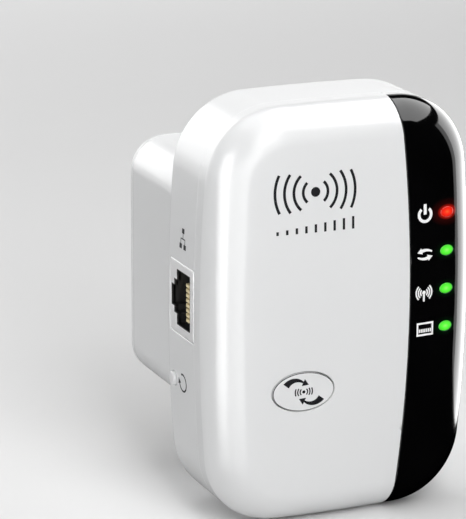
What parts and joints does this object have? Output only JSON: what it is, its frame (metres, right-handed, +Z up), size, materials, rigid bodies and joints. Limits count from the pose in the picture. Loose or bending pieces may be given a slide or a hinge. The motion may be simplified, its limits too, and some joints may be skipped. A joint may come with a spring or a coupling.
{
  "type": "wifi range extender",
  "caption": "Rounded white plug-in wifi range extender with a black light strip, an oval front button, a side network socket and a three-pin plug.",
  "frame": {"origin": "middle of the plug face that lies against the wall outlet", "axes": "+Y into the wall along the pins, so the front faces -Y; +X to the right seen from the front; +Z up"},
  "size_m": [0.0636, 0.0807, 0.0924],
  "materials": {
    "white_shell": "glossy moulded white ABS",
    "black_panel": "high-gloss black acrylic",
    "plug_nylon": "satin white nylon",
    "pin_brass": "machined brass",
    "pin_sleeve": "matt black insulating sleeve",
    "jack_metal": "tin-plated pressed steel",
    "black_plastic": "matt black moulding",
    "contact_gold": "gold-plated spring wire",
    "red_lens": "clear light pipe lit red",
    "green_lens": "clear light pipe lit green",
    "circuit_board": "green solder mask on glass fibre",
    "chip_resin": "black moulding compound",
    "tinned_can": "satin metal can",
    "ferrite": "sintered ferrite",
    "winding_tape": "yellow polyester tape",
    "blue_coating": "blue coating",
    "red_insulation": "red insulation",
    "black_insulation": "black insulation",
    "screw_steel": "zinc-plated steel"
  },
  "bodies": {
    "root": {"front_cover": "white_shell", "rear_cover": "white_shell", "light_panel": "black_panel", "plug_base": "plug_nylon", "earth_pin": "plug_nylon", "line_pin": "pin_brass", "neutral_pin": "pin_brass", "line_pin_sleeve": "pin_sleeve", "neutral_pin_sleeve": "pin_sleeve", "lan_jack_shield": "jack_metal", "lan_jack_housing": "black_plastic", "wps_switch_body": "black_plastic", "reset_switch_body": "black_plastic", "lan_contact_1": "contact_gold", "lan_contact_2": "contact_gold", "lan_contact_3": "contact_gold", "lan_contact_4": "contact_gold", "lan_contact_5": "contact_gold", "lan_contact_6": "contact_gold", "lan_contact_7": "contact_gold", "lan_contact_8": "contact_gold", "light_pipe_power": "red_lens", "led_power": "red_lens", "light_pipe_sync": "green_lens", "light_pipe_signal": "green_lens", "light_pipe_device": "green_lens", "led_sync": "green_lens", "led_signal": "green_lens", "led_device": "green_lens", "main_board": "circuit_board", "power_board": "circuit_board", "antenna_top": "circuit_board", "antenna_side": "circuit_board", "wifi_chip": "chip_resin", "memory_chip": "chip_resin", "flash_chip": "chip_resin", "lan_transformer": "chip_resin", "voltage_regulator": "chip_resin", "bulk_capacitor": "chip_resin", "bridge_rectifier": "chip_resin", "switching_chip": "chip_resin", "output_diode": "chip_resin", "crystal": "tinned_can", "smoothing_capacitor": "tinned_can", "transformer_core": "ferrite", "power_inductor": "ferrite", "transformer_winding": "winding_tape", "output_capacitor": "blue_coating", "safety_capacitor": "blue_coating", "fuse_resistor": "red_insulation", "dc_lead_positive": "red_insulation", "dc_lead_negative": "black_insulation", "antenna_top_lead": "black_insulation", "antenna_side_lead": "black_insulation", "board_screw_1": "screw_steel", "board_screw_2": "screw_steel"},
    "wps_button": {"wps_button": "white_shell"},
    "wps_plunger": {"wps_switch_plunger": "black_plastic"},
    "reset_button": {"reset_button": "white_shell"},
    "reset_plunger": {"reset_switch_plunger": "black_plastic"}
  },
  "joints": [
    {"name": "wps_press", "type": "slide", "parent": "root", "child": "wps_button", "axis": [0, 1, 0], "range_m": [0, 0.0005], "stiffness_N_per_m": 2500},
    {"name": "wps_plunger_press", "type": "slide", "parent": "root", "child": "wps_plunger", "axis": [0, 1, 0], "range_m": [0, 0.0005]},
    {"name": "reset_press", "type": "slide", "parent": "root", "child": "reset_button", "axis": [1, 0, 0], "range_m": [0, 0.0005], "stiffness_N_per_m": 2500},
    {"name": "reset_plunger_press", "type": "slide", "parent": "root", "child": "reset_plunger", "axis": [1, 0, 0], "range_m": [0, 0.0005]}
  ],
  "couplings": [
    {"joint": "wps_plunger_press", "follows": "wps_press", "ratio": 1},
    {"joint": "reset_plunger_press", "follows": "reset_press", "ratio": 1}
  ]
}
